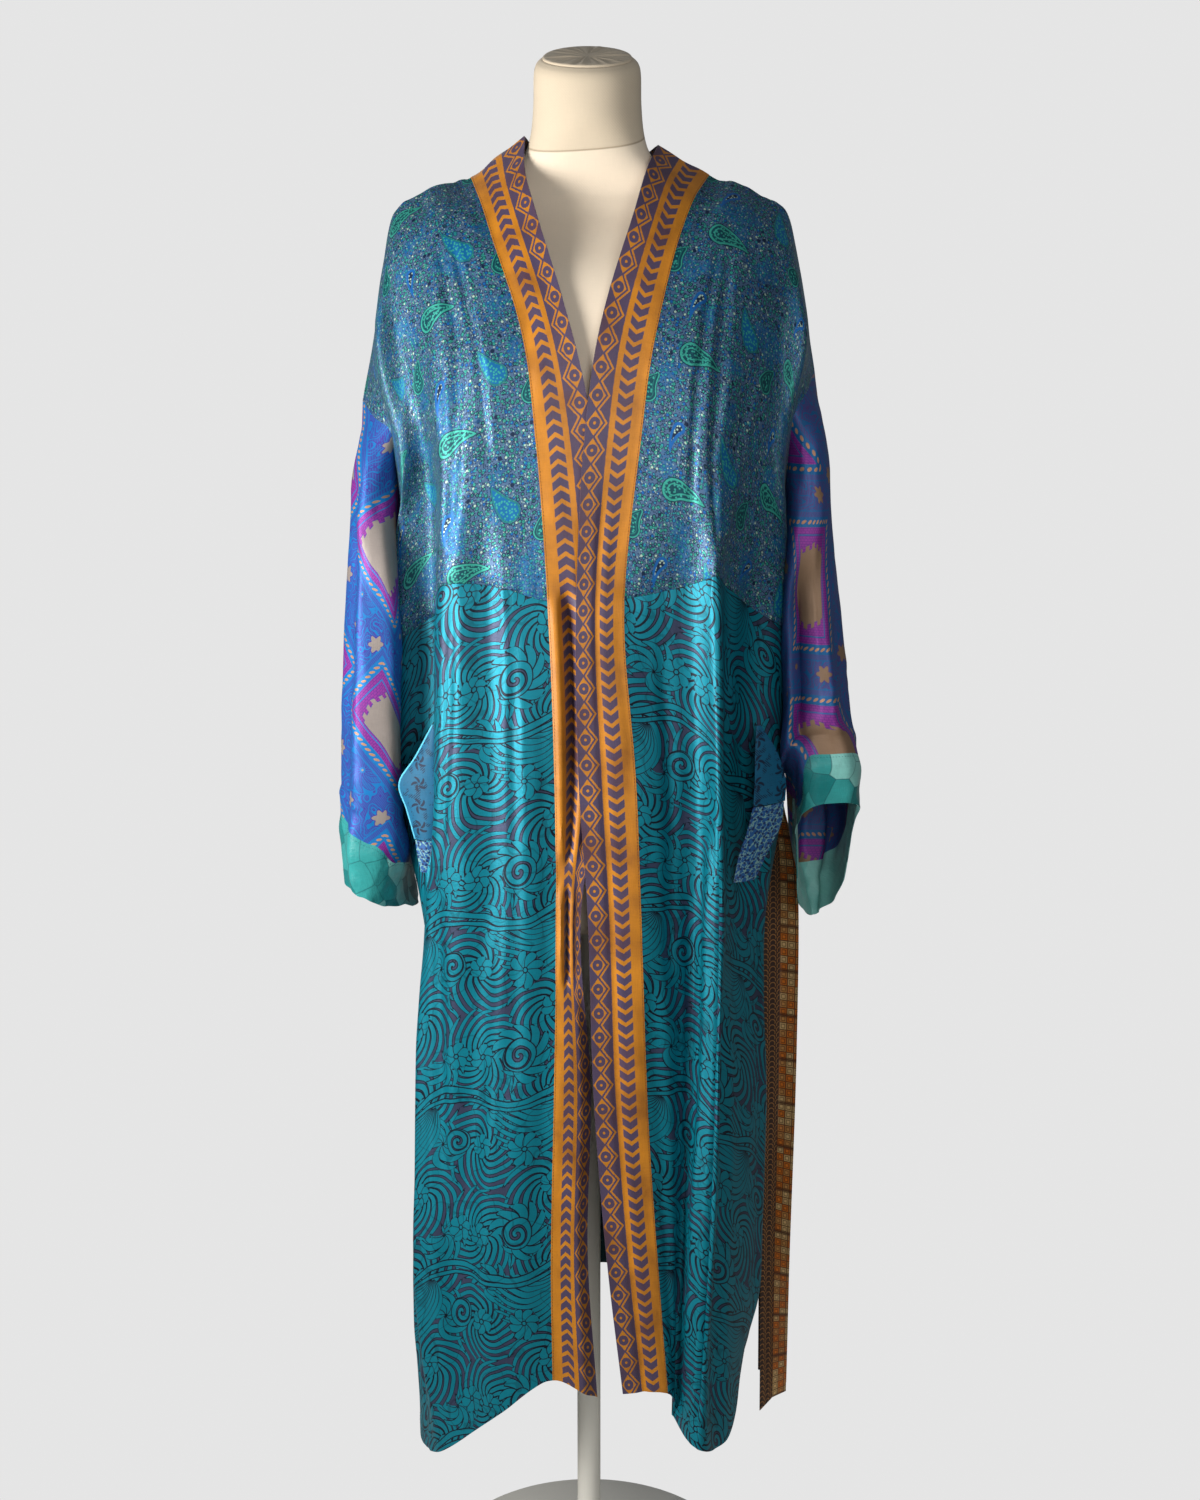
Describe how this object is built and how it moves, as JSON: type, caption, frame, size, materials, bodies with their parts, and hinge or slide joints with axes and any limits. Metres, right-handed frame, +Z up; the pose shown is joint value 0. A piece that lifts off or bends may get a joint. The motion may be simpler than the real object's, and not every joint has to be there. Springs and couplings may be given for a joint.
{
  "type": "silk kimono on a dress form",
  "caption": "Long open silk kimono robe with wide sleeves, trimmed front bands, side pockets and a hanging belt, on a limbless dress form with a pole and round base.",
  "frame": {"origin": "centre of the underside of the stand's round base", "axes": "+Z up the pole to the neck, -Y out of the robe's open front, +X to the viewer's right from the front"},
  "size_m": [0.5191, 0.3326, 1.6088],
  "materials": {
    "bodice_silk": "satin",
    "skirt_silk": "satin",
    "sleeve_silk": "satin",
    "cuff_silk": "satin",
    "trim_silk": "satin",
    "pocket_plain_silk": "satin",
    "pocket_ditsy_silk": "satin",
    "belt_silk": "satin",
    "form_jersey": "matte",
    "cap_jersey": "matte",
    "stand_paint": "satin"
  },
  "bodies": {
    "root": {"front_bodice_left": "bodice_silk", "front_bodice_right": "bodice_silk", "back_bodice": "bodice_silk", "front_skirt_left": "skirt_silk", "front_skirt_right": "skirt_silk", "back_skirt": "skirt_silk", "neck_band": "trim_silk", "sleeve_left": "sleeve_silk", "cuff_left": "cuff_silk", "sleeve_right": "sleeve_silk", "cuff_right": "cuff_silk", "pocket_left_upper": "pocket_plain_silk", "pocket_left_lower": "pocket_ditsy_silk", "pocket_right_upper": "pocket_plain_silk", "pocket_right_lower": "pocket_ditsy_silk", "belt": "belt_silk", "belt_loop": "skirt_silk", "form_torso": "form_jersey", "form_neck_cap": "cap_jersey", "stand_pole": "stand_paint", "stand_base": "stand_paint"}
  },
  "joints": []
}
